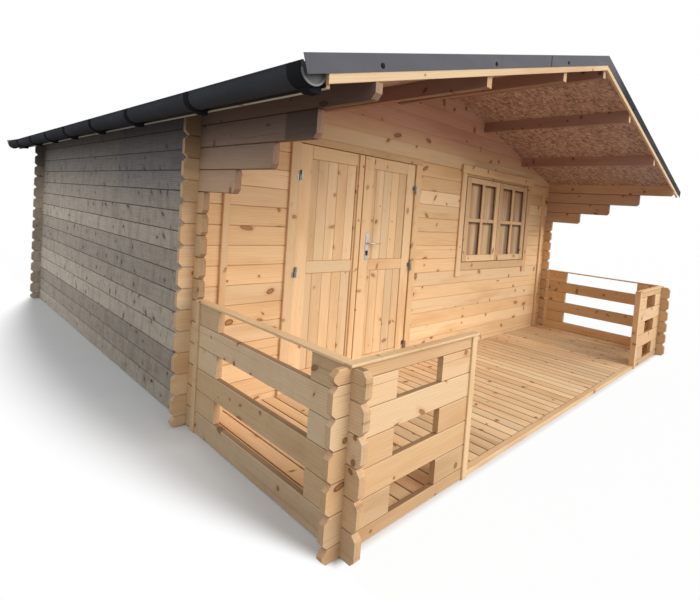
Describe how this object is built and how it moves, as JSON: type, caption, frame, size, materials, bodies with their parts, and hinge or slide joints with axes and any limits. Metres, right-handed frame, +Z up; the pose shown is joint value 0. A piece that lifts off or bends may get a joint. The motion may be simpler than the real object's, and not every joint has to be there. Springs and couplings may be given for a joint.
{
  "type": "log cabin",
  "caption": "Timber log cabin with crossed, notched log corners, a railed front veranda under a deep canopy, outward double doors, a casement window and a low profiled metal roof.",
  "frame": {"origin": "middle of the bounding box at ground level", "axes": "+X to the right along the front, +Y from the front to the back, +Z up"},
  "size_m": [5.4168, 6.4924, 2.7929],
  "materials": {
    "wall_logs": "sawn, lightly weathered",
    "roof_timber": "sawn, lightly weathered",
    "roof_board": "sawn, lightly weathered",
    "roof_metal": "matt",
    "verge_metal": "satin",
    "barge_timber": "sawn, lightly weathered",
    "gutter_metal": "satin",
    "rail_logs": "sawn, lightly weathered",
    "deck_timber": "sawn, lightly weathered",
    "door_timber": "sawn, lightly weathered",
    "hinge_metal": "brushed",
    "handle_metal": "brushed",
    "window_timber": "sawn, lightly weathered",
    "glass": "clear"
  },
  "bodies": {
    "cabin": {"back_barge_boards": "barge_timber", "back_gable_logs": "wall_logs", "back_verge_flashing": "verge_metal", "back_wall_logs": "wall_logs", "cabin_floor": "deck_timber", "door_frame": "door_timber", "door_trim": "door_timber", "entrance_sill": "deck_timber", "frame_hinges": "hinge_metal", "front_barge_boards": "barge_timber", "front_gable_logs": "wall_logs", "front_verge_flashing": "verge_metal", "front_wall_left_logs": "wall_logs", "front_wall_right_logs": "wall_logs", "gutter": "gutter_metal", "gutter_brackets": "gutter_metal", "handrails": "rail_logs", "left_front_rail_logs": "rail_logs", "left_side_rail_logs": "rail_logs", "left_wall_logs": "wall_logs", "rail_posts": "rail_logs", "ridge_cap": "roof_metal", "ridge_purlin": "roof_timber", "right_front_rail_logs": "rail_logs", "right_side_rail_logs": "rail_logs", "right_wall_logs": "wall_logs", "roof_boards_left": "roof_board", "roof_boards_right": "roof_board", "roof_sheet_left": "roof_metal", "roof_sheet_right": "roof_metal", "side_purlins": "roof_timber", "storm_battens": "window_timber", "veranda_deck": "deck_timber", "window_frame": "window_timber", "window_glass": "glass", "window_sashes": "window_timber", "window_trim": "window_timber"},
    "left_door": {"left_door_leaf": "door_timber", "left_leaf_hinges": "hinge_metal", "meeting_strip": "door_timber"},
    "right_door": {"right_door_leaf": "door_timber", "right_leaf_hinges": "hinge_metal", "handle_plate": "handle_metal"},
    "door_lever": {"handle_lever": "handle_metal"}
  },
  "joints": [
    {"name": "left_door_hinge", "type": "hinge", "parent": "cabin", "child": "left_door", "pos_m": [-1.6645, -1.63115, 0.97], "axis": [0, 0, -1], "range_deg": [0, 105]},
    {"name": "right_door_hinge", "type": "hinge", "parent": "cabin", "child": "right_door", "pos_m": [-0.4155, -1.63115, 0.97], "axis": [0, 0, 1], "range_deg": [0, 105]},
    {"name": "lever_turn", "type": "hinge", "parent": "right_door", "child": "door_lever", "pos_m": [-0.9605, -1.62715, 1.168], "axis": [0, 1, 0], "range_deg": [0, 40], "stiffness_Nm_per_rad": 2, "springref_deg": -20.05}
  ]
}
